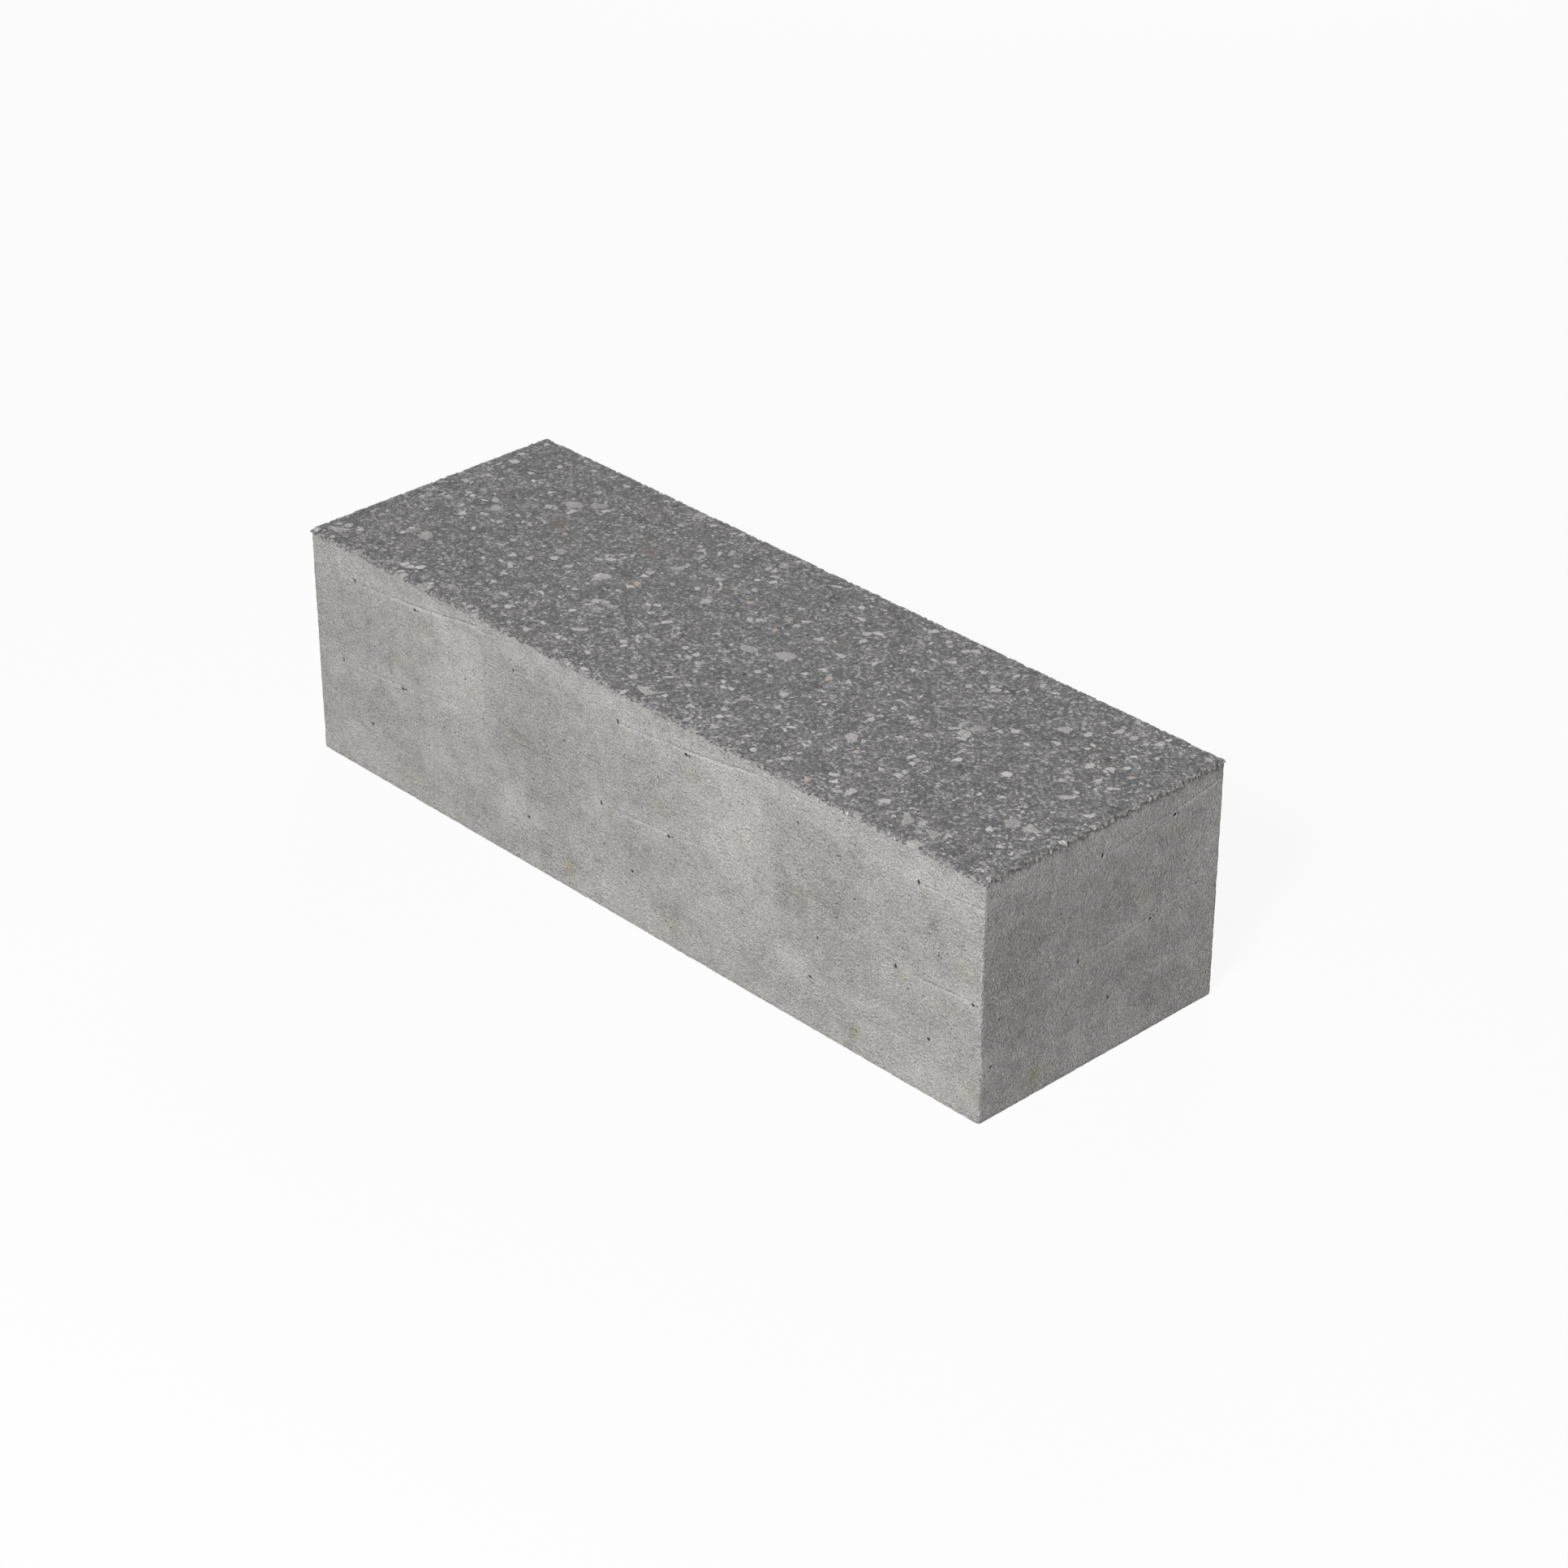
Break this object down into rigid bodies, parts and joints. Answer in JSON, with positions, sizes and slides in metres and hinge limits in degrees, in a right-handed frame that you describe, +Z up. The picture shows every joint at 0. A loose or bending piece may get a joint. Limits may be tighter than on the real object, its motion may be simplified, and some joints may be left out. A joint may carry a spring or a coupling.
{
  "type": "concrete paver",
  "caption": "Rectangular concrete paving block with a dark exposed-aggregate walking face on a light grey body, laid on a bed beside others to pave a path or yard.",
  "frame": {"origin": "centre of the underside, on the bed that the paver lies on", "axes": "+X along the length, +Y across the width, +Z up through the height, out of the walking face"},
  "size_m": [0.3, 0.1, 0.08],
  "materials": {
    "concrete": "matte cast concrete, light grey and sandy on the sides, dark grey exposed aggregate on the walking face"
  },
  "bodies": {
    "root": {"paver": "concrete"}
  },
  "joints": []
}
